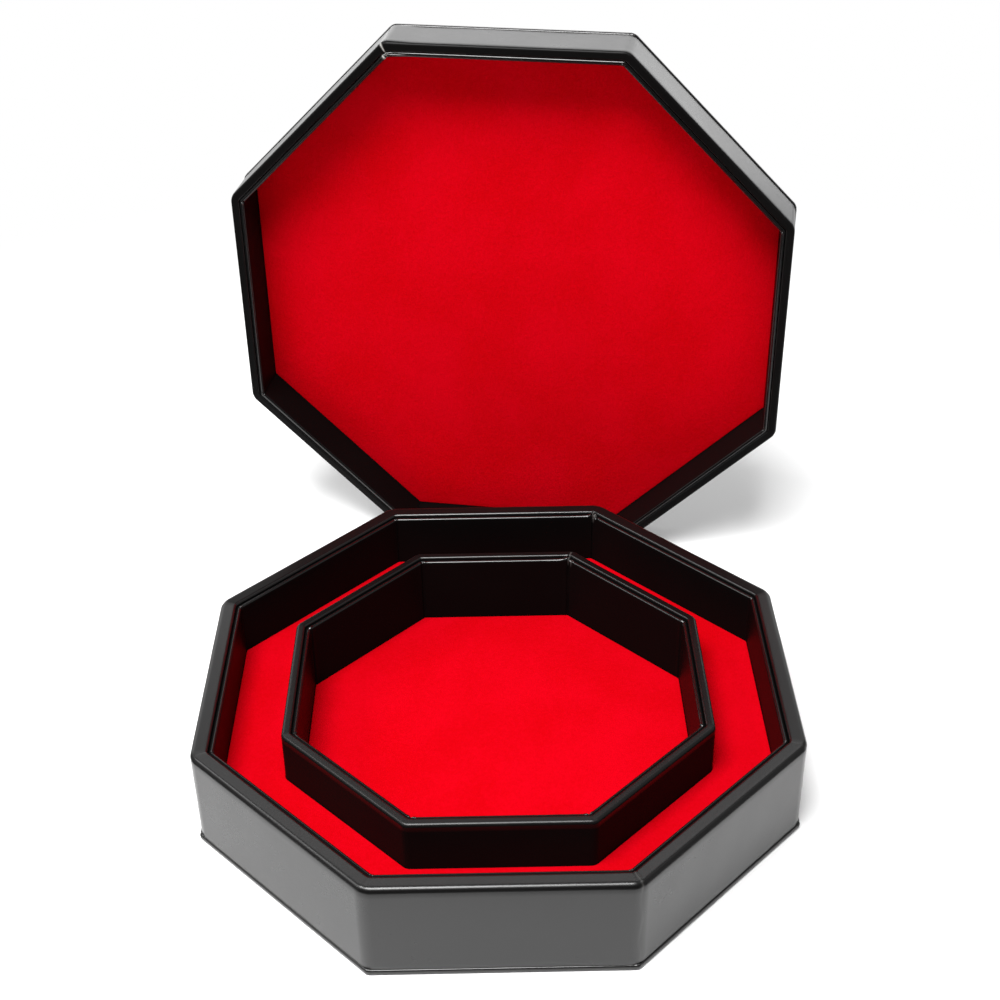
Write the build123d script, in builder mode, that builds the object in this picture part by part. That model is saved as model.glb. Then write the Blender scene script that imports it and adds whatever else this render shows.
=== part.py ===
from build123d import *
import os
from math import cos, radians, sin

# Octagonal dice tray of wrapped board: a box, a lower wall standing inside it, and a lift-off lid.
# Millimetres, +Z up. The origin is the centre of the box's underside, and +Y points to the lid,
# which stands on its edge behind the box with its open side towards the front.

# Box
base_flats = 210.0  # across the flats, over the leatherette
base_height = 38.5  # underside to rim
base_band = 6.0  # width of the rim's outer band
base_corner = 7.5  # outer corner radius seen from above
base_inner_corner = 3.0  # the same on the inner face of the band
base_rim_round = 2.0  # rounding of the wrapped rim edges

# Wall that stands inside the box
trough_width = 21.8  # between the box's lining strip and this wall
ring_height = 33.0  # above the floor board
ring_band = 3.3
ring_corner = 3.6
ring_inner_corner = 2.7
ring_rim_round = 1.3

# Lid, which goes over the outside of the box
lid_depth = 21.9  # outer face to rim
lid_band = 3.4
lid_corner = 5.5
lid_inner_corner = 2.7
lid_rim_round = 1.3
lid_clearance = 0.5  # between the lid's liner and the box, on each side

# Lining strip inside each wall
liner_thickness = 1.8
liner_drop = 1.0  # how far its edge lies below the rim
liner_rim_round = 0.8
liner_gap = 0.1  # between the strip and the wall

# Plates that close the box and the lid
base_plate_thickness = 2.0
lid_plate_thickness = 2.0
plate_proud = 0.4  # how far a plate stands out past its wall
base_plate_corner = 2.6
lid_plate_corner = 4.5
plate_round = 0.8
plate_turn_in = 12.0  # width of the leatherette turned in over the inner face

# Sheets
skin = 0.5  # leatherette on walls and plates
liner_skin = 0.35  # thinner leatherette on the lining strips
glue = 0.05  # glue line between two pieces
floor_board_thickness = 1.1
ring_board_thickness = 3.75
lid_card_thickness = 0.9
velvet_thickness = 0.8
velvet_gap = 0.3  # round the edge of each velvet and floor card
velvet_round = 0.25

# Raised floor between the two walls
trough_floor = 16.5  # underside of the box to the top of the velvet
trough_board_thickness = 1.9
riser_thickness = 2.0  # strips on edge that carry the board

# Where the lid stands
lid_x = 10.3
lid_y = 153.6
lid_turn = -10.0  # degrees about the vertical

# Sides counter-clockwise from the right
base_sides = ("right", "back_right", "back", "back_left", "left", "front_left", "front", "front_right")
# On the standing lid the side that would be at the back is at the top
lid_sides = tuple(side.replace("back", "top").replace("front", "bottom") for side in base_sides)

side_count = len(base_sides)
side_angle = 360 / side_count

base_inner_flats = base_flats - 2 * (base_band + liner_gap + liner_thickness)
ring_flats = base_inner_flats - 2 * trough_width
ring_inner_flats = ring_flats - 2 * (ring_band + liner_gap + liner_thickness)
lid_inner_flats = base_flats + 2 * lid_clearance
lid_flats = lid_inner_flats + 2 * (liner_thickness + liner_gap + lid_band)

base_plane = Plane.XY
lid_plane = Plane(
    origin=(lid_x, lid_y, lid_flats / 2 + plate_proud),
    x_dir=(cos(radians(lid_turn)), sin(radians(lid_turn)), 0),
    z_dir=(sin(radians(lid_turn)), -cos(radians(lid_turn)), 0),
)

os.makedirs("parts", exist_ok=True)


def save(piece, name):
    """Label a finished piece and write it under its own name."""
    piece.part.label = name
    export_step(piece.part, f"parts/{name}.step")
    size = piece.part.bounding_box().size
    print(f"{name}: {size.X:.1f} x {size.Y:.1f} x {size.Z:.1f} mm")


def octagon(flats, corner, mode=Mode.ADD):
    """Add a regular octagon with rounded corners, its flats square to the axes, to a sketch."""
    with BuildSketch(Plane.XY, mode=Mode.PRIVATE) as outline:
        RegularPolygon(flats / 2, side_count, major_radius=False, rotation=side_angle / 2)
        fillet(outline.vertices(), corner)
    add(outline.sketch, mode=mode)


def far_face(piece, plane):
    """The face of a piece that lies furthest along its plane's normal."""
    return piece.faces().sort_by(Axis(plane.origin, plane.z_dir))[-1]


def near_face(piece, plane):
    """The face of a piece that lies furthest against its plane's normal."""
    return piece.faces().sort_by(Axis(plane.origin, plane.z_dir))[0]


def octagonal_tube(plane, outer, outer_corner, inner, inner_corner, height, rounding):
    """A closed wall of eight sides whose two top edges are rounded."""
    with BuildPart() as tube:
        with BuildSketch(plane):
            octagon(outer, outer_corner)
            octagon(inner, inner_corner, mode=Mode.SUBTRACT)
        extrude(amount=height)
        fillet(far_face(tube, plane).edges(), rounding)
    return tube.part


def strip_core(plane, flats, corner, inner, inner_corner, height, rounding, depth):
    """The space that is left inside a wrapped strip, this deep below its outer surface."""
    return octagonal_tube(
        plane,
        flats - 2 * depth,
        corner - depth,
        inner + 2 * depth,
        inner_corner + depth,
        height - depth,
        rounding - depth,
    )


def wrapped_strip(name, plane, flats, corner, inner, inner_corner, height, rounding, thickness):
    """Leatherette up the outer face of a strip, over its edge and down its inner face."""
    outside = octagonal_tube(plane, flats, corner, inner, inner_corner, height, rounding)
    inside = strip_core(plane, flats, corner, inner, inner_corner, height, rounding, thickness)
    with BuildPart() as wrap:
        add(outside)
        add(inside, mode=Mode.SUBTRACT)
    save(wrap, name)


def wall_boards(prefix, sides, plane, flats, corner, inner, inner_corner, height, rounding):
    """Eight boards, mitred where they meet, that fill a wrapped wall."""
    core = strip_core(plane, flats, corner, inner, inner_corner, height, rounding, skin + glue)
    reach = flats / cos(radians(side_angle / 2))
    for place, side in enumerate(sides):
        start, end = radians((place - 0.5) * side_angle), radians((place + 0.5) * side_angle)
        with BuildPart() as board:
            add(core)
            with BuildSketch(plane):
                with BuildLine():
                    Polyline(
                        (0, 0),
                        (reach * cos(start), reach * sin(start)),
                        (reach * cos(end), reach * sin(end)),
                        close=True,
                    )
                make_face()
            extrude(amount=height, mode=Mode.INTERSECT)
        save(board, f"{prefix}_wall_{side}_board")


def wall(prefix, sides, plane, flats, band, corner, inner_corner, height, rounding):
    """Boards and leatherette of one wall, and the wrapped lining strip inside it."""
    inner = flats - 2 * band
    wall_boards(prefix, sides, plane, flats, corner, inner, inner_corner, height, rounding)
    wrapped_strip(f"{prefix}_wall_wrap", plane, flats, corner, inner, inner_corner, height, rounding, skin)

    liner_outer = inner - 2 * liner_gap
    liner_inner = liner_outer - 2 * liner_thickness
    liner_corner = inner_corner - liner_gap
    liner = (
        plane,
        liner_outer,
        liner_corner,
        liner_inner,
        liner_corner - liner_thickness,
        height - liner_drop,
        liner_rim_round,
    )
    wrapped_strip(f"{prefix}_liner_wrap", *liner, liner_skin)
    with BuildPart() as card:
        add(strip_core(*liner, liner_skin + glue))
    save(card, f"{prefix}_liner_card")


def plate(prefix, plane, flats, corner, thickness):
    """Board plate with leatherette over its outer face and edges, turned in on its inner face."""
    board_flats = flats - 2 * (skin + glue)
    with BuildPart() as board:
        with BuildSketch(plane.offset(skin + glue)):
            octagon(board_flats, corner - skin - glue)
        extrude(amount=thickness - 2 * (skin + glue))
    save(board, f"{prefix}_plate_board")

    with BuildPart() as wrap:
        with BuildSketch(plane):
            octagon(flats, corner)
        extrude(amount=thickness)
        fillet(far_face(wrap, plane).edges() + near_face(wrap, plane).edges(), plate_round)
        with BuildSketch(plane.offset(skin)):
            octagon(flats - 2 * skin, corner - skin)
        extrude(amount=thickness - 2 * skin, mode=Mode.SUBTRACT)
        with BuildSketch(plane.offset(thickness)):
            octagon(flats - 2 * plate_turn_in, corner)
        extrude(amount=-skin, mode=Mode.SUBTRACT)
    save(wrap, f"{prefix}_plate_wrap")


def sheet(name, plane, flats, corner, thickness, rounding=0.0, hole_flats=0.0, hole_corner=0.0):
    """An octagonal piece cut square to its plane, with a worn upper edge and a hole if it has them."""
    with BuildPart() as flat:
        with BuildSketch(plane):
            octagon(flats, corner)
            if hole_flats:
                octagon(hole_flats, hole_corner, mode=Mode.SUBTRACT)
        extrude(amount=thickness)
        if rounding:
            fillet(far_face(flat, plane).edges(), rounding)
    save(flat, name)


# Corner radii left inside the lining strips
base_liner_corner = base_inner_corner - liner_gap - liner_thickness
ring_liner_corner = ring_inner_corner - liner_gap - liner_thickness
lid_liner_corner = lid_inner_corner - liner_gap - liner_thickness

# Heights of the stack inside the box
base_wall_foot = base_plate_thickness + glue
floor_board_bottom = base_wall_foot
ring_foot = floor_board_bottom + floor_board_thickness + glue
ring_velvet_foot = ring_foot + ring_board_thickness + glue
trough_velvet_foot = trough_floor - velvet_thickness
trough_board_bottom = trough_velvet_foot - glue - trough_board_thickness
riser_height = trough_board_bottom - glue - ring_foot

# Box
plate("base", base_plane, base_flats + 2 * plate_proud, base_plate_corner, base_plate_thickness)
wall(
    "base",
    base_sides,
    base_plane.offset(base_wall_foot),
    base_flats,
    base_band,
    base_corner,
    base_inner_corner,
    base_height - base_wall_foot,
    base_rim_round,
)
sheet(
    "base_floor_board",
    base_plane.offset(floor_board_bottom),
    base_inner_flats - 2 * velvet_gap,
    base_liner_corner,
    floor_board_thickness,
)

# Trough between the walls: two risers, a board and velvet
trough_outer = base_inner_flats - 2 * velvet_gap
trough_inner = ring_flats + 2 * velvet_gap
trough_inner_corner = ring_corner + velvet_gap
sheet(
    "trough_outer_riser_board",
    base_plane.offset(ring_foot),
    trough_outer,
    base_liner_corner,
    riser_height,
    hole_flats=trough_outer - 2 * riser_thickness,
    hole_corner=base_liner_corner,
)
sheet(
    "trough_inner_riser_board",
    base_plane.offset(ring_foot),
    trough_inner + 2 * riser_thickness,
    trough_inner_corner + riser_thickness,
    riser_height,
    hole_flats=trough_inner,
    hole_corner=trough_inner_corner,
)
sheet(
    "trough_board",
    base_plane.offset(trough_board_bottom),
    trough_outer,
    base_liner_corner,
    trough_board_thickness,
    hole_flats=trough_inner,
    hole_corner=trough_inner_corner,
)
sheet(
    "trough_velvet",
    base_plane.offset(trough_velvet_foot),
    trough_outer,
    base_liner_corner,
    velvet_thickness,
    velvet_round,
    trough_inner,
    trough_inner_corner,
)

# Wall inside the box, and the rolling area it encloses
wall(
    "ring",
    base_sides,
    base_plane.offset(ring_foot),
    ring_flats,
    ring_band,
    ring_corner,
    ring_inner_corner,
    ring_height,
    ring_rim_round,
)
sheet(
    "ring_floor_board",
    base_plane.offset(ring_foot),
    ring_inner_flats - 2 * velvet_gap,
    ring_liner_corner,
    ring_board_thickness,
)
sheet(
    "ring_floor_velvet",
    base_plane.offset(ring_velvet_foot),
    ring_inner_flats - 2 * velvet_gap,
    ring_liner_corner,
    velvet_thickness,
    velvet_round,
)

# Lid, standing on its edge
lid_wall_foot = lid_plate_thickness + glue
lid_velvet_foot = lid_wall_foot + lid_card_thickness + glue
plate("lid", lid_plane, lid_flats + 2 * plate_proud, lid_plate_corner, lid_plate_thickness)
wall(
    "lid",
    lid_sides,
    lid_plane.offset(lid_wall_foot),
    lid_flats,
    lid_band,
    lid_corner,
    lid_inner_corner,
    lid_depth - lid_wall_foot,
    lid_rim_round,
)
sheet(
    "lid_floor_card",
    lid_plane.offset(lid_wall_foot),
    lid_inner_flats - 2 * velvet_gap,
    lid_liner_corner,
    lid_card_thickness,
)
sheet(
    "lid_floor_velvet",
    lid_plane.offset(lid_velvet_foot),
    lid_inner_flats - 2 * velvet_gap,
    lid_liner_corner,
    velvet_thickness,
    velvet_round,
)

closed_height = base_height + lid_velvet_foot + velvet_thickness
print(f"lid across flats {lid_flats:.1f} mm, closed height {closed_height:.1f} mm")
ring_floor = ring_velvet_foot + velvet_thickness
print(f"ring rim at {ring_foot + ring_height:.2f} mm, its floor at {ring_floor:.2f} mm")
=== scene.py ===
# %% [markdown]
# # Dressing an octagonal tray of wrapped board
# The real tray is greyboard with black leatherette stretched over it and red velvet glued to its
# floors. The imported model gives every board, card and sheet its size and place. This lesson puts
# finely modelled coverings in place of the plain ones, gives each its material, and lights the
# whole on a pale floor.

import math

import bpy
import numpy as np
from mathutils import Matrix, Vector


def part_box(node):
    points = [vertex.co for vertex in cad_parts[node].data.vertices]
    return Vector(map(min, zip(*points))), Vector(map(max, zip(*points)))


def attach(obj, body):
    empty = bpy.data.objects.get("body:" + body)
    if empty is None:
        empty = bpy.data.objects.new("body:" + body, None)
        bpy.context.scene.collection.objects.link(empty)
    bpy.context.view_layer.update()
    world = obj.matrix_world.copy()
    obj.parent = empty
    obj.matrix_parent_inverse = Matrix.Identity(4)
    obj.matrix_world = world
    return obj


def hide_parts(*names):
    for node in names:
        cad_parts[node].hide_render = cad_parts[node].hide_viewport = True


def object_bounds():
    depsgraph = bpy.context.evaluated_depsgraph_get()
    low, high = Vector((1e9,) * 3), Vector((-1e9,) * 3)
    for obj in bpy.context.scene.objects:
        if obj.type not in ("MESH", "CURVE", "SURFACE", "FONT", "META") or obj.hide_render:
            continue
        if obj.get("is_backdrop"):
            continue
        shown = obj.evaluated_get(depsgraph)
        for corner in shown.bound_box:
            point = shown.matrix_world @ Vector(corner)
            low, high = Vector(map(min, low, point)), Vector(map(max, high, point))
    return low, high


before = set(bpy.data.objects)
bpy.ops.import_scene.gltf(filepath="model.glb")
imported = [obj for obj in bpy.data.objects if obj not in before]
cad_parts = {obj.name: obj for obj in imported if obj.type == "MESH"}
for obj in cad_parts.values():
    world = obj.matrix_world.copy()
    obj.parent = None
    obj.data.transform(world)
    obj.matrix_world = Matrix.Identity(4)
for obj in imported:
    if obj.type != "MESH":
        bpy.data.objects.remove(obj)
cad_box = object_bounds()

# %% [markdown]
# ## Sizes
# The coverings follow the boards, so their sizes repeat the ones the boards were made with. They
# are written in millimetres, as the maker would measure them, and one factor turns them into the
# metres that Blender works in. A wall has a width across the flats, the width of its band as seen
# from above, the corner radius of its outer and of its inner face, the heights of its foot and rim,
# and two radii for the rim's edges: the outer one is rounded, the inner one is tighter.

# %% Sizes of the three walls
MM = 0.001

SKIN = 0.5  # leatherette on walls and plates
LINER_SKIN = 0.35  # thinner leatherette on the strips inside them
PILE = 0.8  # velvet

base_wall = dict(
    flats=210.0, band=6.0, corner=7.5, inner_corner=3.0,
    foot=2.05, rim=38.5, rounding=1.9, tight=1.0)
ring_wall = dict(
    flats=150.6, band=3.3, corner=3.6, inner_corner=2.7,
    foot=3.2, rim=36.2, rounding=1.3, tight=0.8)
lid_wall = dict(
    flats=221.6, band=3.4, corner=5.5, inner_corner=2.7,
    foot=2.05, rim=21.9, rounding=1.0, tight=0.8)

for name, wall in (("base", base_wall), ("ring", ring_wall), ("lid", lid_wall)):
    wall["name"] = name
    low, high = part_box(f"{name}_wall_wrap")
    print(f"{name} wall: {wall['flats']:.1f} mm across, node {(high.z - low.z) / MM:.1f} mm tall")

# %% [markdown]
# ## Where the lid stands
# The lid is modelled lying open, like the box, and then stood on its edge by one matrix: its own
# right stays right, its own back points up, and its open side faces the box. The place goes into
# the mesh itself, so the object stays at the origin.

# %% A frame for the box and one for the lid
lid_place = (10.3, 153.6, 111.2)
lid_turn = math.radians(-10.0)

LYING = (np.zeros(3), np.eye(3))
STANDING = (
    np.array(lid_place),
    np.array([
        [math.cos(lid_turn), math.sin(lid_turn), 0.0],
        [0.0, 0.0, 1.0],
        [math.sin(lid_turn), -math.cos(lid_turn), 0.0],
    ]),
)


def placed(points, stance):
    """Points in a part's own frame, turned by its stance's three axes and moved to its origin."""
    origin, axes = stance
    return origin + points @ axes


print("the lid's centre stands at", lid_place)

# %% [markdown]
# ## Once round an octagon
# Every ring of every covering is an octagon with rounded corners. One ring could be made by
# bevelling a polygon, but then the rings of a wall would not match point for point. Instead two
# fields of vectors are worked out once. A ring with half width a and corner radius r is then
# (a - r) times the first plus r times the second, which is exact for every a and r.

# %% Fields of vectors round the octagon
SIDES = 8
TURN = 2 * math.pi / SIDES


def direction(angle):
    """Unit vectors at these angles, as an array with one more axis."""
    return np.stack([np.cos(angle), np.sin(angle)], axis=-1)


def octagon_fields(side_steps, corner_steps):
    """Hub and outward vectors once round. On a corner the hub points at the arc's centre, at
    1 / cos(half turn), while the outward vector turns; along a side the hub slides straight to the
    next arc's centre while the outward vector holds still. Steps along a side are spaced by a
    cosine, so that they crowd at the corners, where the folds are."""
    side = np.arange(SIDES)[:, None]
    slide = (1 - np.cos(np.linspace(0, math.pi, side_steps, endpoint=False))) / 2
    sweep = np.linspace(0, 1, corner_steps, endpoint=False)
    start = direction((side - 0.5) * TURN) / math.cos(TURN / 2)
    end = direction((side + 0.5) * TURN) / math.cos(TURN / 2)
    hub_side = start + (end - start) * slide[None, :, None]
    hub_corner = np.repeat(end, corner_steps, axis=1)
    out_side = np.repeat(direction(side * TURN), side_steps, axis=1)
    out_corner = direction((side + sweep[None, :]) * TURN)
    hub = np.concatenate([hub_side, hub_corner], axis=1).reshape(-1, 2)
    out = np.concatenate([out_side, out_corner], axis=1).reshape(-1, 2)
    return hub, out


HUB, OUT = octagon_fields(side_steps=46, corner_steps=12)
print(f"{len(HUB)} points once round")

# %% [markdown]
# ## Distances along the wall
# Wrinkles, laps and creases belong to a place along the wall, so each point needs to know how far
# it is from the nearest corner, and from the corner where the strip of leatherette begins and ends.


# %% Distances from the corners
def ring(half, radius):
    """Flat points of rounded octagons: (half - radius) * hub + radius * outward, one row a ring."""
    half, radius = np.atleast_1d(half)[:, None, None], np.atleast_1d(radius)[:, None, None]
    return (half - radius) * HUB + radius * OUT


def distance_from(corner, wall):
    """Signed distance in mm along a wall's outer face from the middle of one corner, positive
    counter-clockwise: the running length of the ring, less its value at that corner."""
    points = ring(wall["flats"] / 2, wall["corner"])[0]
    steps = np.linalg.norm(np.roll(points, -1, axis=0) - points, axis=1)
    length = np.concatenate([[0.0], np.cumsum(steps)[:-1]])
    round_it = steps.sum()
    angle = np.arctan2(points[:, 1], points[:, 0])
    aim = (corner + 0.5) * TURN
    at = length[np.argmax(np.cos(angle - aim))]
    return (length - at + round_it / 2) % round_it - round_it / 2


def nearest_corner(wall):
    """Distance in mm from each point to the middle of the nearest corner."""
    return np.min([np.abs(distance_from(k, wall)) for k in range(SIDES)], axis=0)


print(f"a side of the box is {base_wall['flats'] * math.tan(TURN / 2):.1f} mm long")

# %% [markdown]
# ## Profiles
# A covering is a strip carried round the octagon, so all of its shape is in its cross-section:
# up the outer face, over the rounded rim, down the inner face, and back along the side that is
# glued to the board. The strip gets its true thickness this way, with no modifier. The last number
# of each stretch says how many points it gets: more where it bends or shows.


# %% Pieces of a cross-section
def run(start, end, count):
    """Points on a straight line from start up to, but not including, end."""
    share = np.linspace(0, 1, count, endpoint=False)[:, None]
    return np.array(start) + (np.array(end) - np.array(start)) * share


def bend(centre, radius, first, last, count):
    """Points on a circle's arc between two angles in degrees, without the last one."""
    angle = np.radians(np.linspace(first, last, count, endpoint=False))
    return np.array(centre) + radius * direction(angle)


def outward(profile, closed):
    """Unit normals of a cross-section, to the right of its way: its step turned by a quarter."""
    if closed:
        step = np.roll(profile, -1, axis=0) - np.roll(profile, 1, axis=0)
    else:
        step = np.gradient(profile, axis=0)
    normal = np.stack([step[:, 1], -step[:, 0]], axis=1)
    return normal / np.linalg.norm(normal, axis=1, keepdims=True)


def strip_profile(outer, inner, foot, rim, rounding, tight, thickness, tuck):
    """Cross-section of a strip over a wall: a rounded foot, the outer face, an arc, the flat rim,
    a tighter arc, the inner face, and the same line again deeper by the thickness, backwards."""
    o, i, r, q, t = outer, inner, rounding, tight, thickness
    seen = [
        bend((o - tuck, foot + tuck), tuck, -90, 0, 5),
        run((o, foot + tuck), (o, rim - r), 16),
        bend((o - r, rim - r), r, 0, 90, 10),
        run((o - r, rim), (i + q, rim), 6),
        bend((i + q, rim - q), q, 90, 180, 10),
        run((i, rim - q), (i, foot), 14),
    ]
    glued = [
        run((i + t, foot), (i + t, rim - q), 4),
        bend((i + q, rim - q), q - t, 180, 90, 5),
        run((i + q, rim - t), (o - r, rim - t), 3),
        bend((o - r, rim - r), r - t, 90, 0, 5),
        run((o - t, rim - r), (o - t, foot), 5),
    ]
    seen, glued = np.concatenate(seen), np.concatenate(glued)
    return np.concatenate([seen, glued]), len(seen)


WALL_TUCK = 0.4  # radius at the foot of a wall's covering


def wall_profile(wall):
    """The cross-section of the leatherette over a wall."""
    outer = wall["flats"] / 2
    inner = outer - wall["band"]
    return strip_profile(
        outer, inner, wall["foot"], wall["rim"], wall["rounding"], wall["tight"], SKIN, WALL_TUCK)


profile, seen = wall_profile(base_wall)
print(f"a wall's cross-section has {len(profile)} points, {seen} of them on the side that shows")

# %% [markdown]
# ## From grids of points to meshes
# A grid of points is a table of rings. Neighbouring rings are joined by squares, the first ring
# joins the last where the cross-section is closed, and a sheet ends in one point at its middle.


# %% Mesh from a grid
def in_scene(name, data):
    """A new object for a mesh, a lamp or a lens, linked into the scene."""
    made = bpy.data.objects.new(name, data)
    bpy.context.scene.collection.objects.link(made)
    return made


def new_piece(name, points, closed, **marks):
    """A mesh from rings of points in mm: rows are rings, and columns go once round. Each square
    joins (row, column) to the next of both. An open grid starts and ends in a single point, the
    mean of its first and of its last ring. Each mark is a number for every point, kept as an
    attribute under its own name."""
    rows, columns = points.shape[:2]
    index = np.arange(rows * columns).reshape(rows, columns)
    upper = np.roll(index, -1, axis=0) if closed else index[1:]
    lower = index if closed else index[:-1]
    lower_next, upper_next = np.roll(lower, -1, axis=1), np.roll(upper, -1, axis=1)
    squares = np.stack([lower, lower_next, upper_next, upper], axis=-1)
    faces = squares.reshape(-1, 4).tolist()
    flat = points.reshape(-1, 3)
    if not closed:
        first, last = index[0], index[-1]
        flat = np.concatenate([flat, [points[0].mean(axis=0), points[-1].mean(axis=0)]])
        start, end = len(flat) - 2, len(flat) - 1
        faces += np.stack([np.full(columns, start), np.roll(first, -1), first], axis=1).tolist()
        faces += np.stack([last, np.roll(last, -1), np.full(columns, end)], axis=1).tolist()
    mesh = bpy.data.meshes.new(name)
    mesh.from_pydata((flat * MM).tolist(), [], faces)
    mesh.polygons.foreach_set("use_smooth", np.ones(len(faces), bool))
    for mark, grid in marks.items():
        values = np.broadcast_to(grid, (rows, columns)).reshape(-1)
        if not closed:
            values = np.concatenate([values, [values[0], values[-1]]])
        attribute = mesh.attributes.new(mark, "FLOAT", "POINT")
        attribute.data.foreach_set("value", values.astype(np.float32))
    mesh.validate()
    piece = in_scene(name, mesh)
    print(f"{name}: {len(mesh.vertices)} points, {len(mesh.polygons)} faces")
    return piece

# %% [markdown]
# ## How leatherette lies
# Stretched over board by hand, it is never quite flat. Three things show: slow waves in the
# faces, a lap where the strip's end is glued over its beginning, and small puckers where it was
# pushed into a corner. Each is a height above the smooth surface, so they simply add up. First come
# the waves, and two curves that shape all the rest.

# %% Slow waves
WAVES = 6
WAVE_LENGTHS = (18, 70)
WAVE_SLANTS = (-0.6, 0.6)


def ease(x):
    """A smooth step from 0 to 1: 3x^2 - 2x^3, with x held between 0 and 1."""
    x = np.clip(x, 0, 1)
    return x * x * (3 - 2 * x)


def hump(x, width):
    """A bell about zero: e to the power of minus (x / width) squared."""
    return np.exp(-((x / width) ** 2))


def waves(along, up, size, seed):
    """Slow unevenness: the mean of a few sine waves that run along and up the wall, their lengths
    in mm, slants and phases drawn from a seeded generator."""
    draw = np.random.default_rng(seed)
    total = np.zeros(np.broadcast(along, up).shape)
    for _ in range(WAVES):
        length = draw.uniform(*WAVE_LENGTHS)
        slant = draw.uniform(*WAVE_SLANTS)
        phase = draw.uniform(0, 2 * math.pi)
        total = total + np.sin(2 * math.pi * (along + slant * up) / length + phase)
    return size * total / WAVES


sample = waves(np.arange(100.0), np.zeros(100), 1.0, seed=1)
print(f"waves reach from {sample.min():.2f} to {sample.max():.2f} of their full size")

# %% [markdown]
# ## Ends and corners of a strip
# A lap rises slowly and drops at once. Its edge was cut by hand, so it wanders a little. A thin
# pale
# line is painted there: partly the pale cloth that backs the leatherette, partly a painted
# highlight of the light its raised edge catches.

# %% Laps, cut ends, puckers and creases
LAP_RISE, LAP_CREST = 12, 1  # mm along the wall, up and then level
EDGE_DROP = 0.35
SLOW_WANDER, QUICK_WANDER = 0.35, 1.9  # radians per mm of height
RAW_OFFSET, RAW_WIDTH, RAW_FADE = 0.2, 0.32, 1.5
PUCKER_LEAN, PUCKER_DEPTH = 0.35, 4.0


def lap_edge(up, wander):
    """Where the strip's end lies along the wall: a slow and a smaller quick sine of the height."""
    return wander * np.sin(SLOW_WANDER * up) + 0.25 * wander * np.sin(QUICK_WANDER * up)


def lap(along, up, height, wander):
    """The strip's end over its beginning: a slow rise, then a drop at its edge."""
    rise = ease((along + LAP_RISE + LAP_CREST) / LAP_RISE)
    drop = 1 - ease((along - lap_edge(up, wander)) / EDGE_DROP)
    return height * rise * drop


def raw_edge(along, up, deep, wander, reach):
    """How much pale colour is painted at a cut end, partly its backing and partly a painted
    highlight
    of its raised edge: a bell across the edge, frayed by a sine of the height, that fades out below
    this depth."""
    line = hump(along - lap_edge(up, wander) - RAW_OFFSET, RAW_WIDTH)
    frayed = 0.75 + 0.25 * np.sin(2.9 * up + 1.0)
    return line * frayed * (1 - ease((deep - reach) / RAW_FADE))


def pucker(along, deep, size):
    """A fold that leans as it goes down from the rim: a bell beside a wider hollow, dying away."""
    lean = along - PUCKER_LEAN * deep
    ridge, hollow = hump(lean - 1.2, 0.7), hump(lean + 0.2, 0.8)
    return size * (ridge - hollow) * hump(deep, PUCKER_DEPTH)


def crease(nearest, size):
    """A scored and folded corner: a narrow valley between two low shoulders."""
    shoulder, valley = 0.8 * hump(nearest - 1.5, 0.7), hump(nearest, 0.5)
    return size * (shoulder - valley)


just_before = float(lap(np.array(-0.9), np.array(0.0), height=0.35, wander=0.4))
print(f"a lap is {just_before:.3f} mm high just before its edge")

# %% [markdown]
# ## Carry a cross-section round
# Each point of the cross-section becomes a ring, with a corner radius that fits its distance from
# the middle. The heights above lift the visible side along the surface's own normal.

# %% Sweep round the octagon
LEAST_RADIUS = 0.35


def corner_radius(half, wall):
    """Corner radius at a half width: in a straight line from the inner face's to the outer's."""
    outer = wall["flats"] / 2
    inner = outer - wall["band"]
    slope = (wall["corner"] - wall["inner_corner"]) / wall["band"]
    return np.maximum(wall["inner_corner"] + (half - inner) * slope, LEAST_RADIUS)


def swept(profile, seen, radius, height, closed=True, lift=0.0):
    """Points of a cross-section carried round: ring(half, radius) moved out by height times the
    section's normal, and up by height times its rise, plus any straight lift."""
    normal = outward(profile, closed)
    height = np.where((np.arange(len(profile)) < seen)[:, None], height, 0.0)
    flat = ring(profile[:, 0], radius) + (height * normal[:, :1])[..., None] * OUT
    up = profile[:, 1:] + height * normal[:, 1:] + lift
    return np.concatenate([flat, up[..., None]], axis=-1)


print(f"a corner of the box has a radius of {corner_radius(102.0, base_wall):.1f} mm on the rim")

# %% [markdown]
# ## The leatherette of a wall
# One strip covers each wall. How much each point is handled goes with it: hands polish the outer
# faces and the rim, most of all its flat at the front, while the groove inside the rim stays matt.

# %% Heights and polish of a wall
FACE_WAVES, RIM_WAVES = 0.07, 0.03  # mm, the same unit for all heights and depths here
WAVES_BEGIN, WAVES_FULL = 0.5, 4
END_WANDER, END_REACH = 0.5, 2.0
PUCKER = 0.1
CORNER_DIP, DIP_WIDTH = 0.06, 0.9
EDGE_BLEND = 0.3  # from the rim's flat to its edges
FACE_BLEND = 2  # from the outer edge to the face
GROOVE_BEGINS, GROOVE_BLEND = 0.4, 0.6  # below the inner edge no hand comes
BACK_SHARE = 0.1  # of the polish on the rim's flat, at the back


def wall_height(wall, along, up, lap_height, seed):
    """Waves below the rim, the lap, the pucker beside it, finer waves on the rim, and a dip where
    the rim turns a corner, all added up."""
    deep = wall["rim"] - up
    rim_edge = hump(deep - 0.3 * wall["rounding"], wall["rounding"])
    height = waves(along, up, FACE_WAVES, seed) * ease((deep - WAVES_BEGIN) / WAVES_FULL)
    height = height + lap(along, up, lap_height, END_WANDER)
    height = height + pucker(along, deep, PUCKER)
    height = height + RIM_WAVES * waves(along, up, 1.0, seed + 1) * rim_edge
    return height - CORNER_DIP * hump(nearest_corner(wall)[None, :], DIP_WIDTH) * rim_edge


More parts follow.
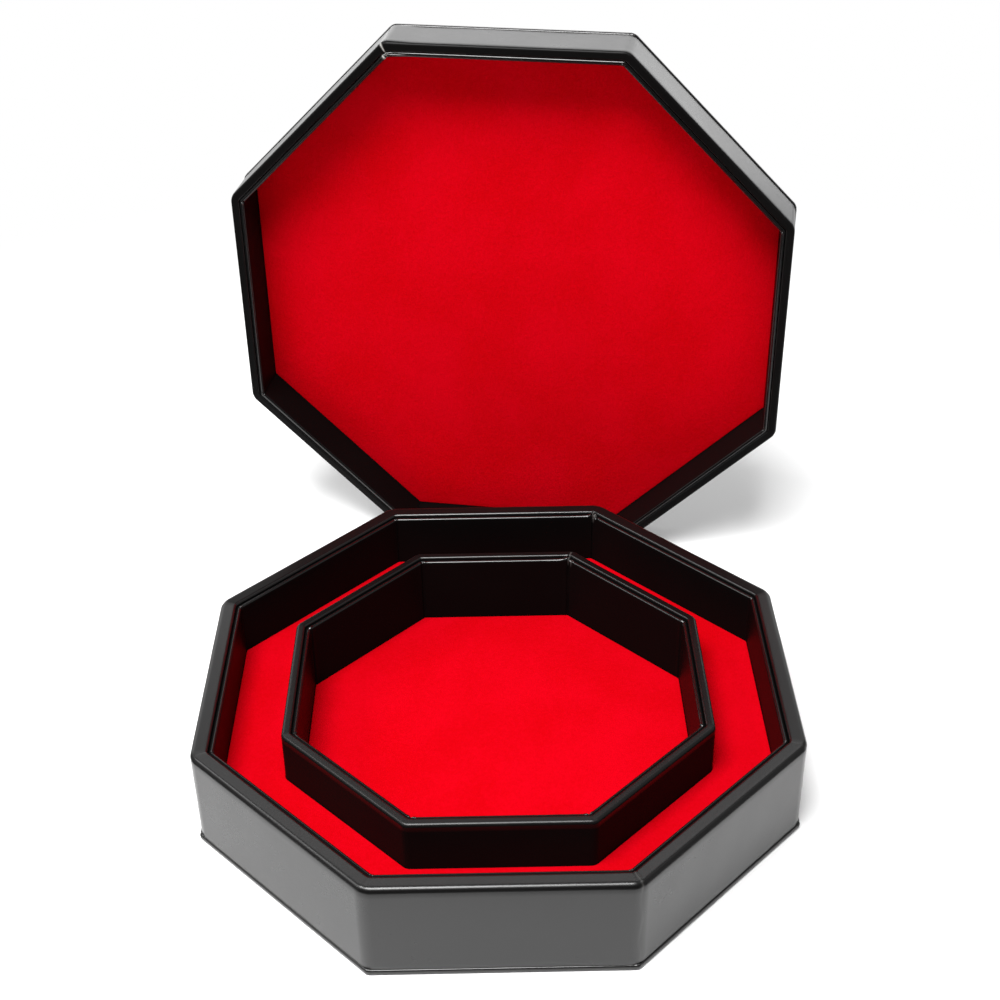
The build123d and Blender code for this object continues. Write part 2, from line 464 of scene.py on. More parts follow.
def wall_polish(wall, profile, polish):
    """How much each point is handled, blended from four shares: for the outer face, the rim's outer
    edge, its flat and its inner edge. The flat's share is full at the front only."""
    face, outer_edge, flat, inner_edge = polish
    deep = wall["rim"] - profile[:, 1:]
    inner = wall["flats"] / 2 - wall["band"]
    facing_out = ease((profile[:, :1] - inner - 0.3 * wall["band"]) / (0.4 * wall["band"]))
    front = ease((0.6 - OUT[:, 1]) / 1.4)
    flat = flat * (BACK_SHARE + (1 - BACK_SHARE) * front)
    over = ease(deep / EDGE_BLEND)
    outside = flat + (outer_edge - flat) * over
    outside = face + (outside - face) * (1 - ease((deep - wall["rounding"]) / FACE_BLEND))
    groove = ease((deep - GROOVE_BEGINS) / GROOVE_BLEND)
    inside = (flat + (inner_edge - flat) * over) * (1 - groove)
    return inside + (outside - inside) * facing_out


print(f"{len(profile)} heights and shares of polish for each of the {len(HUB)} points once round")


# %% Wall coverings
def wall_covering(wall, stance, node, lap_corner, lap_height, polish, raw, seed):
    """One strip of leatherette over a wall, lapped at one corner, its cut end painted this pale:
    partly its backing, partly a painted highlight of the raised edge.
    """
    profile, seen = wall_profile(wall)
    along = distance_from(lap_corner, wall)[None, :]
    up = profile[:, 1:]
    radius = corner_radius(profile[:, 0], wall)
    points = swept(profile, seen, radius, wall_height(wall, along, up, lap_height, seed))
    # the cut end's pale line is partly its backing and partly a painted highlight of the raised
    # edge
    piece = new_piece(
        f"{wall['name']}_wall_covering", placed(points, stance), True,
        handled=wall_polish(wall, profile, polish),
        raw=raw * raw_edge(along, up, wall["rim"] - up, END_WANDER, END_REACH))
    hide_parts(node)
    return piece


base_covering = wall_covering(
    base_wall, LYING, "base_wall_wrap", lap_corner=6, lap_height=0.12,
    polish=(0.65, 0.45, 0.85, 1.0), raw=0.1, seed=11)
ring_covering = wall_covering(
    ring_wall, LYING, "ring_wall_wrap", lap_corner=1, lap_height=0.2,
    polish=(0.0, 0.4, 0.35, 1.0), raw=0.2, seed=12)
lid_covering = wall_covering(
    lid_wall, STANDING, "lid_wall_wrap", lap_corner=2, lap_height=0.4,
    polish=(0.65, 0.1, 0.05, 0.6), raw=1.0, seed=13)

# %% [markdown]
# ## The strips inside the walls
# Inside each wall stands a card strip wrapped in thinner leatherette. In the box it ends a
# millimetre below the rim; in the lid it comes up almost flush, where its edge catches a thin line
# of light. It is scored and folded at the corners, which leaves a valley there, and its two ends
# meet at a corner where one curls up over the other.


# %% Liner coverings
LINER = 1.8
LINER_GAP = 0.1
LINER_ROUNDING = 0.8
LINER_TUCK = 0.2
LINER_WAVES = 0.08
CREASE = 0.22
LINER_LAP, LINER_WANDER = 0.25, 0.4
CURL_RISE, CURL_CREST, CURL_DROP = 4.0, 0.5, 0.5
CURL_EDGE, CURL_DEPTH = 0.2, 1.6
CRUMPLE, CRUMPLE_LENGTH = 0.4, 2.3
CRUMPLE_MIDDLE, CRUMPLE_WIDTH = 2.8, 2.2
SECOND_END = 2.2  # from the first cut end to the other
EDGE_POLISH = 0.5  # how far down the strip's edge shines
NEARLY_FLUSH = 0.5  # a higher strip shines on the far side of its edge too


def curled_end(along, curl):
    """Lift of the ends: one rises to curl and drops at its edge, and past it the other one is
    crumpled, a sine under a bell."""
    rise = ease((along + CURL_RISE + CURL_CREST) / CURL_RISE)
    drop = 1 - ease((along - CURL_EDGE) / CURL_DROP)
    crumple = np.sin(2 * math.pi * along / CRUMPLE_LENGTH)
    crumple = crumple * hump(along - CRUMPLE_MIDDLE, CRUMPLE_WIDTH) * (along > CURL_EDGE)
    return curl * (rise * drop + CRUMPLE * crumple)


def liner_covering(wall, stance, node, drop, end_corner, way, curl, raw, seed):
    """Leatherette over a lining strip that ends this far below the rim. Its end stands up by curl
    over its beginning, and its cut edge is painted this pale, partly for its backing and partly as
    a painted highlight of its raised edge; way is 1 where the end comes from the right as seen from
    inside, else -1."""
    outer = wall["flats"] / 2 - wall["band"] - LINER_GAP
    inner = outer - LINER
    rim = wall["rim"] - drop
    profile, seen = strip_profile(
        outer, inner, wall["foot"], rim, LINER_ROUNDING, LINER_ROUNDING, LINER_SKIN, LINER_TUCK)
    along = way * distance_from(end_corner, wall)[None, :]
    up = profile[:, 1:]
    deep = rim - up
    inside = profile[:, :1] < outer - 0.5 * LINER
    shining = inside | (drop < NEARLY_FLUSH)
    height = waves(along, up, LINER_WAVES, seed) * ease((deep - WAVES_BEGIN) / WAVES_FULL)
    height = height + crease(nearest_corner(wall)[None, :], CREASE)
    height = height + lap(along, up, LINER_LAP, LINER_WANDER)
    shows = (np.arange(len(profile)) < seen)[:, None]
    lift = np.where(shows, curled_end(along, curl) * hump(deep, CURL_DEPTH), 0.0)
    radius = corner_radius(profile[:, 0], wall)
    points = swept(profile, seen, radius, height * inside, lift=lift)
    first_end = raw_edge(along, up, deep, LINER_WANDER, reach=1.5)
    second_end = raw_edge(along - SECOND_END, up, deep, wander=0.9, reach=1.0)
    # the cut ends' pale lines are partly backing and partly a painted highlight of the raised edges
    piece = new_piece(
        f"{wall['name']}_liner_covering", placed(points, stance), True,
        handled=(1 - ease((deep - 0.1) / EDGE_POLISH)) * shining,
        raw=raw * (first_end + 0.7 * second_end))
    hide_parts(node)
    return piece


base_lining = liner_covering(
    base_wall, LYING, "base_liner_wrap", drop=1.0,
    end_corner=1, way=-1, curl=2.4, raw=0.5, seed=21)
ring_lining = liner_covering(
    ring_wall, LYING, "ring_liner_wrap", drop=1.0,
    end_corner=1, way=-1, curl=0.6, raw=0.15, seed=22)
lid_lining = liner_covering(
    lid_wall, STANDING, "lid_liner_wrap", drop=0.1,
    end_corner=2, way=1, curl=0.6, raw=1.6, seed=23)

# %% [markdown]
# ## The plates
# Box and lid are each closed by a board plate that stands a little proud of the wall.
# Its leatherette covers the outer face, goes round the edge and is turned in on the inner face.
# The rings now start from one point at the middle of the outer face and end at the middle of its
# glued side, so the sheet is one closed skin.


# %% Plate coverings
MIDDLE = 2.0  # half width of the smallest ring
TURNED_IN = 12.0
PLATE_THICKNESS = 2.0
PLATE_ROUNDING = 0.8
PLATE_WAVES = 0.06
WAVELESS_EDGE, WAVE_FADE = 3, 12
GATHERS, GATHER_LENGTH, GATHER_REACH = 0.07, 1.7, 3.0
PLATE_POLISH, POLISHED_EDGE = 0.6, 1.2


def plate_profile(outer):
    """Cross-section from the middle of the outer face to the edge, round it, in over the inner
    face, and back along the glued side to the middle."""
    o, h, r, s = outer, PLATE_THICKNESS, PLATE_ROUNDING, SKIN
    turned = o - TURNED_IN
    seen = np.concatenate([
        run((MIDDLE, 0), (o - r, 0), 34),
        bend((o - r, r), r, -90, 0, 8),
        run((o, r), (o, h - r), 3),
        bend((o - r, h - r), r, 0, 90, 8),
        run((o - r, h), (turned, h), 8),
    ])
    glued = np.concatenate([
        run((turned, h), (turned, h - s), 2),
        run((turned, h - s), (o - r, h - s), 3),
        bend((o - r, h - r), r - s, 90, 0, 4),
        bend((o - r, r), r - s, 0, -90, 4),
        run((o - r, s), (MIDDLE, s), 10),
    ])
    return np.concatenate([seen, glued]), len(seen)


def plate_covering(prefix, stance, node, flats, corner, seed):
    """Leatherette over a plate. Its face is lowered by slow waves that die away at the edge, and a
    sine under a bell gathers it at each corner, where it is turned in."""
    outer = flats / 2
    profile, seen = plate_profile(outer)
    half, up = profile[:, :1], profile[:, 1:]
    radius = corner * half[:, 0] / outer
    flat = ring(half[:, 0], radius)
    nearest = nearest_corner(dict(flats=flats, corner=corner))[None, :]
    polished = PLATE_POLISH + (1 - PLATE_POLISH) * hump(outer - half, POLISHED_EDGE)
    face = (up < 0.01) * ease((outer - WAVELESS_EDGE - half) / WAVE_FADE)
    height = (waves(flat[..., 0], flat[..., 1], PLATE_WAVES, seed) - PLATE_WAVES) * face
    gathers = GATHERS * np.sin(2 * math.pi * nearest / GATHER_LENGTH) * hump(nearest, GATHER_REACH)
    height = height + gathers * (up > 0.5 * PLATE_THICKNESS)
    points = swept(profile, seen, radius, height, closed=False)
    piece = new_piece(f"{prefix}_plate_covering", placed(points, stance), False, handled=polished)
    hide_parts(node)
    return piece


base_plate = plate_covering("base", LYING, "base_plate_wrap", flats=210.8, corner=2.6, seed=31)
lid_plate = plate_covering("lid", STANDING, "lid_plate_wrap", flats=222.4, corner=4.5, seed=32)

# %% [markdown]
# ## The velvet
# Three sheets of short velvet lie on the floors, cut to just clear the walls. The floor of the
# trough is the higher one, so what lies there is easy to pick up. The pile makes the edge soft and
# the surface faintly uneven.


# %% Velvet sheets
PILE_EDGE = 0.35
PILE_WAVES, PILE_SINK, PILE_FADE = 0.09, 0.06, 6
TROUGH_VELVET_FOOT = 15.7
RING_VELVET_FOOT = 7.0
LID_VELVET_FOOT = 3.0


def velvet_profile(outer, hole, foot):
    """Cross-section of a sheet: its underside, a short edge with a round top, and its face. With a
    hole it is a closed line; without, it starts and ends at the middle."""
    top = foot + PILE
    r = PILE_EDGE
    inner = hole if hole else MIDDLE
    underside = run((inner, foot), (outer, foot), 6)
    edge = [run((outer, foot), (outer, top - r), 3), bend((outer - r, top - r), r, 0, 90, 6)]
    if hole:
        face = run((outer - r, top), (hole + r, top), 14)
        close = [bend((hole + r, top - r), r, 90, 180, 6), run((hole, top - r), (hole, foot), 3)]
    else:
        face = run((outer - r, top), (inner, top), 44)
        close = []
    return np.concatenate([underside, *edge, face, *close])


def velvet_sheet(name, stance, node, outer_flats, corner, foot, seed,
                 hole_flats=0.0, hole_corner=0.0):
    """A sheet of velvet whose face has slow waves. Its corner radius goes in a straight line from
    the outer edge's to the hole's."""
    outer, hole = outer_flats / 2, hole_flats / 2
    profile = velvet_profile(outer, hole, foot)
    half = profile[:, 0]
    share = (half - hole) / (outer - hole)
    radius = hole_corner + (corner - hole_corner) * share
    flat = ring(half, np.minimum(radius, 0.9 * half))
    top = ease((profile[:, 1:] - foot - 0.5 * PILE) / (0.4 * PILE))
    inside = ease((outer - profile[:, :1]) / PILE_FADE)
    uneven = waves(flat[..., 0], flat[..., 1], PILE_WAVES, seed) - PILE_SINK
    height = uneven * inside * top
    up = profile[:, 1:] + height
    points = np.concatenate([flat, up[..., None]], axis=-1)
    piece = new_piece(name, placed(points, stance), bool(hole))
    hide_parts(node)
    return piece


trough_velvet = velvet_sheet(
    "trough_velvet_sheet", LYING, "trough_velvet",
    194.0, 1.1, TROUGH_VELVET_FOOT, seed=41, hole_flats=150.8, hole_corner=3.7)
ring_velvet = velvet_sheet(
    "ring_velvet_sheet", LYING, "ring_floor_velvet",
    140.0, 0.8, RING_VELVET_FOOT, seed=42)
lid_velvet = velvet_sheet(
    "lid_velvet_sheet", STANDING, "lid_floor_velvet",
    210.8, 0.8, LID_VELVET_FOOT, seed=43)

# %% [markdown]
# ## Effects that several materials share
# Fine grain and cloudy variation turn up in more than one finish. Each is built once as a node
# group with named sockets, and every material feeds it its own values.


# %% Helpers for node groups
def new_group(name, inputs, outputs):
    """An empty shader group. inputs is name: default, None for a vector; outputs are floats."""
    group = bpy.data.node_groups.new(name, "ShaderNodeTree")
    for socket, default in inputs.items():
        kind = "NodeSocketVector" if default is None else "NodeSocketFloat"
        made = group.interface.new_socket(socket, in_out="INPUT", socket_type=kind)
        if default is not None:
            made.default_value = default
    for socket in outputs:
        group.interface.new_socket(socket, in_out="OUTPUT", socket_type="NodeSocketFloat")
    return group, group.nodes.new("NodeGroupInput"), group.nodes.new("NodeGroupOutput")


def wire(tree, node, socket, source):
    """Connects a source socket, or sets a plain value, on one of a node's inputs."""
    target = node.inputs[socket]
    if isinstance(source, bpy.types.NodeSocket):
        tree.links.new(source, target)
    else:
        target.default_value = source


def math_node(tree, operation, first, second=0.0, third=0.0):
    """One arithmetic node; first, second and third are sockets or numbers."""
    node = tree.nodes.new("ShaderNodeMath")
    node.operation = operation
    for place, value in enumerate((first, second, third)):
        wire(tree, node, place, value)
    return node.outputs[0]


def noise(tree, vector, scale, detail=2.0, roughness=0.5, distortion=0.0):
    """The value of a noise texture on these coordinates."""
    node = tree.nodes.new("ShaderNodeTexNoise")
    for socket, value in (("Vector", vector), ("Scale", scale), ("Detail", detail),
                          ("Roughness", roughness), ("Distortion", distortion)):
        wire(tree, node, socket, value)
    return node.outputs["Fac"]


def spread(tree, value, low, high):
    """The part of a value between low and high, stretched to 0 to 1 and held there."""
    node = tree.nodes.new("ShaderNodeMapRange")
    node.interpolation_type = "SMOOTHSTEP"
    wire(tree, node, "Value", value)
    wire(tree, node, "From Min", low)
    wire(tree, node, "From Max", high)
    return node.outputs["Result"]


print("helpers ready")

# %% [markdown]
# ## Grain
# Leatherette is pressed with a roller that has a fine pebble pattern: soft domes about a third of
# a millimetre wide, with thin valleys between. A Voronoi texture gives the domes, its cells
# smoothed into each other, and two sizes of them are mixed. Clouds are plain noise at two sizes.

# %% Grain and cloud groups
LARGER_DOMES = 0.43  # how many to a metre, as a share of the small ones
LARGER_SHARE = 0.6
DOME_SMOOTHNESS = 0.35
GRAIN_HEIGHT = 0.6


def grain_group():
    """Height: rounded Voronoi domes of two sizes. Valley: 1 in the thin valleys between them."""
    inputs = {"Vector": None, "Grain Size": 0.0004}
    group, given, result = new_group("pressed grain", inputs, ("Height", "Valley"))
    per_metre = math_node(group, "DIVIDE", 1.0, given.outputs["Grain Size"])
    domes = []
    for factor in (1.0, LARGER_DOMES):
        cells = group.nodes.new("ShaderNodeTexVoronoi")
        cells.feature = "SMOOTH_F1"
        wire(group, cells, "Vector", given.outputs["Vector"])
        wire(group, cells, "Scale", math_node(group, "MULTIPLY", per_metre, factor))
        wire(group, cells, "Smoothness", DOME_SMOOTHNESS)
        domes.append(math_node(group, "SUBTRACT", 1.0, cells.outputs["Distance"]))
    height = math_node(group, "MULTIPLY_ADD", domes[1], LARGER_SHARE, domes[0])
    wire(group, result, "Height", math_node(group, "MULTIPLY", height, GRAIN_HEIGHT))
    wire(group, result, "Valley", spread(group, domes[0], 0.55, 0.2))
    return group


def cloud_group():
    """Slow variation over centimetres and fine variation over millimetres, each about 0.5."""
    inputs = {"Vector": None, "Coarse Size": 0.03, "Fine Size": 0.003}
    group, given, result = new_group("cloudy variation", inputs, ("Coarse", "Fine"))
    for name in ("Coarse", "Fine"):
        scale = math_node(group, "DIVIDE", 1.0, given.outputs[f"{name} Size"])
        cloud = noise(group, given.outputs["Vector"], scale, detail=3.0, distortion=0.3)
        wire(group, result, name, cloud)
    return group


GRAIN = grain_group()
CLOUDS = cloud_group()
print("groups:", GRAIN.name, "and", CLOUDS.name)

# %% [markdown]
# ## Small steps that every material repeats
# Each material starts from the same shader, reads the same coordinates, and mixes, bumps and looks
# up its values in the same way, so each of these steps gets a name.


# %% Helpers for materials
def shader(material):
    """A material's tree and its Principled node."""
    material.use_nodes = True
    return material.node_tree, material.node_tree.nodes["Principled BSDF"]


def object_coordinates(tree):
    """The piece's own coordinates, in metres."""
    return tree.nodes.new("ShaderNodeTexCoord").outputs["Object"]


def use_group(tree, group, **values):
    """A group placed in a tree, its inputs given by name with underscores for spaces."""
    node = tree.nodes.new("ShaderNodeGroup")
    node.node_tree = group
    for name, value in values.items():
        wire(tree, node, name.replace("_", " "), value)
    return node.outputs


def mixed(tree, share, first, second):
    """Two colours mixed by a share."""
    node = tree.nodes.new("ShaderNodeMix")
    node.data_type = "RGBA"
    wire(tree, node, "Factor", share)
    for socket, value in (("A", first), ("B", second)):
        target = next(s for s in node.inputs if s.name == socket and s.type == "RGBA")
        if isinstance(value, bpy.types.NodeSocket):
            tree.links.new(value, target)
        else:
            target.default_value = (*value, 1.0)
    return next(s for s in node.outputs if s.type == "RGBA")


def bump(tree, height, depth):
    """A normal from a height, depth metres at full height."""
    node = tree.nodes.new("ShaderNodeBump")
    wire(tree, node, "Height", height)
    wire(tree, node, "Distance", depth)
    return node.outputs["Normal"]


def mark_value(tree, mark):
    """The number that a mesh keeps at every point under this name."""
    node = tree.nodes.new("ShaderNodeAttribute")
    node.attribute_name = mark
    return node.outputs["Fac"]


print("material helpers ready")

# %% [markdown]
# ## Leatherette
# Black polyurethane over cloth: almost no colour of its own, a sheen that takes its shade from the
# room, and a grain so fine that it mostly softens the reflections. Where it is handled it gets
# smoother and shines more, up to a limit; where no hand comes it stays matt and nearly black. A cut
# end is painted pale: partly the cloth that backs it, partly a painted highlight of its raised
# edge.

# %% Leatherette materials
# pale grey for cut ends: their backing cloth and a painted highlight of their raised edges
BACKING_AND_HIGHLIGHT_GREY = (0.42, 0.41, 0.39)
VALLEY_BLACK = (0.003, 0.003, 0.003)
CLOUD_LIGHTER = 1.7
VALLEY_SHARE = 0.5
COARSE_ROUGHER, FINE_ROUGHER = 0.08, 0.05
HANDLED_SMOOTHER = 0.18
UNTOUCHED_SHINE, HANDLED_SHINE, MOST_SHINE = 0.02, 0.83, 0.56


def leatherette(name, colour, roughness, grain_size, grain_depth):
    """Black leatherette, more polished the more it is handled. The grain's size is in mm."""
    material = bpy.data.materials.new(name)
    tree, principled = shader(material)
    vector = object_coordinates(tree)
    grain = use_group(tree, GRAIN, Vector=vector, Grain_Size=grain_size * MM)
    cloud = use_group(tree, CLOUDS, Vector=vector, Coarse_Size=0.035, Fine_Size=0.0025)
    handled = mark_value(tree, "handled")
    lighter = tuple(CLOUD_LIGHTER * c for c in colour)
    tone = mixed(tree, cloud["Coarse"], colour, lighter)
    valley = math_node(tree, "MULTIPLY", grain["Valley"], VALLEY_SHARE)
    tone = mixed(tree, valley, tone, VALLEY_BLACK)
    # paint the cut ends pale: partly their backing, partly a painted highlight of the raised edge
    tone = mixed(tree, mark_value(tree, "raw"), tone, BACKING_AND_HIGHLIGHT_GREY)
    wire(tree, principled, "Base Color", tone)
    least = roughness - COARSE_ROUGHER / 2
    rough = math_node(tree, "MULTIPLY_ADD", cloud["Coarse"], COARSE_ROUGHER, least)
    rough = math_node(tree, "MULTIPLY_ADD", cloud["Fine"], FINE_ROUGHER, rough)
    rough = math_node(tree, "MULTIPLY_ADD", handled, -HANDLED_SMOOTHER, rough)
    wire(tree, principled, "Roughness", rough)
    wire(tree, principled, "IOR", 1.5)
    shine = math_node(tree, "MULTIPLY_ADD", handled, HANDLED_SHINE, UNTOUCHED_SHINE)
    wire(tree, principled, "Specular IOR Level", math_node(tree, "MINIMUM", shine, MOST_SHINE))
    wire(tree, principled, "Normal", bump(tree, grain["Height"], grain_depth * MM))
    return material


WALL_LEATHERETTE = leatherette(
    "wall_leatherette", (0.0028, 0.0026, 0.0026), 0.38, grain_size=0.40, grain_depth=0.010)
LINER_LEATHERETTE = leatherette(
    "liner_leatherette", (0.0020, 0.0018, 0.0018), 0.38, grain_size=0.32, grain_depth=0.008)
PLATE_LEATHERETTE = leatherette(
    "plate_leatherette", (0.0035, 0.0032, 0.0032), 0.40, grain_size=0.45, grain_depth=0.018)
print("three leatherettes")

# %% [markdown]
# ## Velvet
# Short red pile. Seen straight on it is deep red; seen along the surface the tips of the fibres
# catch the light, which the shader's sheen gives. Pressing and brushing leave slow patches and fine
# streaks where the pile leans another way, so colour and bump vary at both sizes.


# %% Velvet material
FIBRES_PER_METRE = 5200.0
BETWEEN_FIBRES = 0.6  # how bright the pile is between its tips
FIBRE_SHADE = 0.2
COARSE_LEAN, FINE_LEAN = 0.55, 0.45
PILE_DEPTH = 0.18 * MM


def velvet(name, deep, bright):
    """Red velvet: colour between a deep and a bright red by how the pile leans."""
    material = bpy.data.materials.new(name)
    tree, principled = shader(material)
    vector = object_coordinates(tree)
    cloud = use_group(tree, CLOUDS, Vector=vector, Coarse_Size=0.028, Fine_Size=0.0012)
    fibre = noise(tree, vector, FIBRES_PER_METRE, detail=2.0, roughness=0.6)
    lean = math_node(tree, "MULTIPLY", cloud["Coarse"], COARSE_LEAN)
    lean = math_node(tree, "MULTIPLY_ADD", cloud["Fine"], FINE_LEAN, lean)
    tone = mixed(tree, spread(tree, lean, 0.32, 0.68), deep, bright)
    between = math_node(tree, "MULTIPLY", spread(tree, fibre, 0.55, 0.3), FIBRE_SHADE)
    tone = mixed(tree, between, tone, tuple(BETWEEN_FIBRES * c for c in deep))
    wire(tree, principled, "Base Color", tone)
    wire(tree, principled, "Roughness", 0.95)
    wire(tree, principled, "Specular IOR Level", 0.01)
    wire(tree, principled, "Sheen Weight", 0.10)
    wire(tree, principled, "Sheen Roughness", 0.35)
    wire(tree, principled, "Sheen Tint", (1.0, 0.01, 0.04, 1.0))
    tips = math_node(tree, "MULTIPLY", fibre, 0.5)
    pile = math_node(tree, "MULTIPLY_ADD", cloud["Fine"], 0.8, tips)
    wire(tree, principled, "Normal", bump(tree, pile, PILE_DEPTH))
    return material


VELVET = velvet("red_velvet", (0.46, 0.0003, 0.003), (0.52, 0.0005, 0.006))
print("velvet ready")

# %% [markdown]
# ## Greyboard
# The boards and cards hardly show, but they are there when a covering is taken off. Greyboard is
# pressed waste paper: warm grey, matt, with short darker fibres lying in the plane of the sheet.


# %% Greyboard material
BOARD_FIBRES_PER_METRE = 1600.0
FIBRE_STRETCH = (1.0, 0.25, 1.0)
PALE_BOARD, DARK_BOARD, FIBRE_GREY = (0.50, 0.46, 0.41), (0.36, 0.33, 0.29), (0.20, 0.18, 0.16)
BOARD_DEPTH = 0.08 * MM


def greyboard(name):
    """Warm grey board with stretched dark fibres and a slightly rough face."""
    material = bpy.data.materials.new(name)
    tree, principled = shader(material)
    vector = object_coordinates(tree)
    cloud = use_group(tree, CLOUDS, Vector=vector, Coarse_Size=0.02, Fine_Size=0.0015)
    stretched = tree.nodes.new("ShaderNodeMapping")
    wire(tree, stretched, "Vector", vector)
    wire(tree, stretched, "Scale", FIBRE_STRETCH)
    lying_flat = stretched.outputs["Vector"]
    fibres = noise(tree, lying_flat, BOARD_FIBRES_PER_METRE, detail=1.0, distortion=1.5)
    tone = mixed(tree, cloud["Coarse"], DARK_BOARD, PALE_BOARD)
    tone = mixed(tree, spread(tree, fibres, 0.62, 0.72), tone, FIBRE_GREY)
    wire(tree, principled, "Base Color", tone)
    wire(tree, principled, "Roughness", 0.9)
    wire(tree, principled, "Normal", bump(tree, cloud["Fine"], BOARD_DEPTH))
    return material


GREYBOARD = greyboard("greyboard")
print("greyboard ready")

# %% [markdown]
# ## Give every piece its finish and its body
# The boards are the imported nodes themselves, so they only get a better material. The coverings
# ride on the body of what they cover: box or lid.

# %% Finishes
finishes = {
    base_covering: (WALL_LEATHERETTE, "box"),
    ring_covering: (WALL_LEATHERETTE, "box"),
    lid_covering: (WALL_LEATHERETTE, "lid"),
    base_lining: (LINER_LEATHERETTE, "box"),
    ring_lining: (LINER_LEATHERETTE, "box"),
    lid_lining: (LINER_LEATHERETTE, "lid"),
    base_plate: (PLATE_LEATHERETTE, "box"),
    lid_plate: (PLATE_LEATHERETTE, "lid"),
    trough_velvet: (VELVET, "box"),
    ring_velvet: (VELVET, "box"),
    lid_velvet: (VELVET, "lid"),
}
for piece, (material, body) in finishes.items():
    piece.data.materials.append(material)
    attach(piece, body)

boards = [node for name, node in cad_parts.items() if name.endswith(("board", "card"))]
for board in boards:
    board.data.materials.clear()
    board.data.materials.append(GREYBOARD)
print(f"{len(finishes)} coverings and {len(boards)} boards and cards")

# %% [markdown]
# ## Floor
# The object stands on a pale floor that fades into a white room. The floor is lit for real near the
# object, so it keeps the soft shadow. Further out it turns into plain white for the camera and for
# reflections, which gives the outer walls their grey, but as light it stays a plain floor.


# %% Floor
def seen_rays(tree):
    """1 for rays from the camera and for rays that a polished surface throws back."""
    path = tree.nodes.new("ShaderNodeLightPath")
    return math_node(tree, "MAXIMUM", path.outputs["Is Camera Ray"], path.outputs["Is Glossy Ray"])


REACH = 12.0
BELOW_THE_BOX = 0.2 * MM
FLOOR_GREY = (0.88, 0.88, 0.88, 1.0)
FADE_BEGINS, ALL_WHITE = 0.20, 0.55  # metres from the middle

floor_mesh = bpy.data.meshes.new("floor")
square = [(-REACH, -REACH, 0), (REACH, -REACH, 0), (REACH, REACH, 0), (-REACH, REACH, 0)]
floor_mesh.from_pydata(square, [], [(0, 1, 2, 3)])
floor = in_scene("floor", floor_mesh)
floor.location.z = -BELOW_THE_BOX
floor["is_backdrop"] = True

floor_paint = bpy.data.materials.new("floor_paint")
floor_paint.use_nodes = True
tree = floor_paint.node_tree
tree.nodes.clear()
matt = tree.nodes.new("ShaderNodeBsdfDiffuse")
wire(tree, matt, "Color", FLOOR_GREY)
white = tree.nodes.new("ShaderNodeEmission")
wire(tree, white, "Strength", 1.0)
from_middle = tree.nodes.new("ShaderNodeVectorMath")
from_middle.operation = "LENGTH"
tree.links.new(object_coordinates(tree), from_middle.inputs[0])
far = spread(tree, from_middle.outputs["Value"], FADE_BEGINS, ALL_WHITE)
blend = tree.nodes.new("ShaderNodeMixShader")
wire(tree, blend, 0, math_node(tree, "MULTIPLY", far, seen_rays(tree)))
tree.links.new(matt.outputs[0], blend.inputs[1])
tree.links.new(white.outputs[0], blend.inputs[2])
output = tree.nodes.new("ShaderNodeOutputMaterial")
tree.links.new(blend.outputs[0], output.inputs[0])
floor_mesh.materials.append(floor_paint)
print(f"a floor of {2 * REACH:.0f} m, white from {ALL_WHITE} m outward")

# %% [markdown]
# ## Room
# The room is white to the camera only; as light and in reflections it is a gentler grey.

# %% World
ROOM_LIGHT = 0.3

world = bpy.data.worlds.new("white_room")
bpy.context.scene.world = world
world.use_nodes = True
tree = world.node_tree
background = tree.nodes["Background"]
wire(tree, background, "Color", (1.0, 1.0, 1.0, 1.0))
to_camera = tree.nodes.new("ShaderNodeLightPath").outputs["Is Camera Ray"]
strength = math_node(tree, "MULTIPLY_ADD", to_camera, 1.0 - ROOM_LIGHT, ROOM_LIGHT)
wire(tree, background, "Strength", strength)
print("room ready")

# %% [markdown]
# ## Lamps
# A strong softbox above and in front lights the velvet and draws thin bright lines on the rims at
# the back. A narrow one at the left does the same for the rims at the right. Behind stand two weak
# ones: the wide one gives the top of the lid its shine, and the high one brushes the front rims.


# %% Lamps
def softbox(name, place, aim, width, depth, radiance):
    """An area lamp whose power gives the wanted brightness: radiance * pi * its area."""
    lamp = bpy.data.lights.new(name, "AREA")
    lamp.shape = "RECTANGLE"
    lamp.size, lamp.size_y = width, depth
    lamp.energy = radiance * math.pi * width * depth
    shown = in_scene(name, lamp)
    shown.location = place
    way = Vector(aim) - Vector(place)
    shown.rotation_euler = way.to_track_quat("-Z", "Y").to_euler()


softbox(
    "lamp_above", place=(-0.20, -0.35, 1.18), aim=(0.0, 0.03, 0.05),
    width=0.7, depth=0.5, radiance=24.5)
softbox(
    "lamp_left", place=(-0.95, 0.05, 1.0), aim=(0.0, 0.05, 0.05),
    width=0.9, depth=0.3, radiance=5.0)
softbox(
    "lamp_behind", place=(-0.12, 1.0, 0.40), aim=(-0.02, 0.1, 0.1),
    width=2.16, depth=0.6, radiance=1.86)
softbox(
    "lamp_high_behind", place=(0.0, 0.75, 0.95), aim=(0.0, -0.1, 0.0),
    width=1.2, depth=0.25, radiance=1.2)
print("four lamps ready")

# %% [markdown]
# ## Dark cloth
# As in a studio, dark cloth hangs behind the camera and lies on the table in front and at both
# sides, some 60 mm from the box. It only shows in reflections, where it keeps what faces it black.

# %% Dark cloth
CLOTH_BLACK = (0.02, 0.02, 0.02, 1.0)
ABOVE_THE_TABLE = 2 * MM
CLOTH_END, CLOTH_FRONT = 1.6, -1.5  # metres to each side and towards the camera
TOP_EDGE = (-0.9, 1.7)
FRONT_EDGE, SIDE_EDGE = -0.155, 0.17  # where it ends short of the box


def upright(width, low, high):
    """Four corners of a sheet across the picture, from a low to a high line given as (y, z)."""
    return [(-width, *low), (width, *low), (width, *high), (-width, *high)]


def lying(left, right, near, far):
    """Four corners of a sheet on the table."""
    z = ABOVE_THE_TABLE
    return [(left, near, z), (right, near, z), (right, far, z), (left, far, z)]


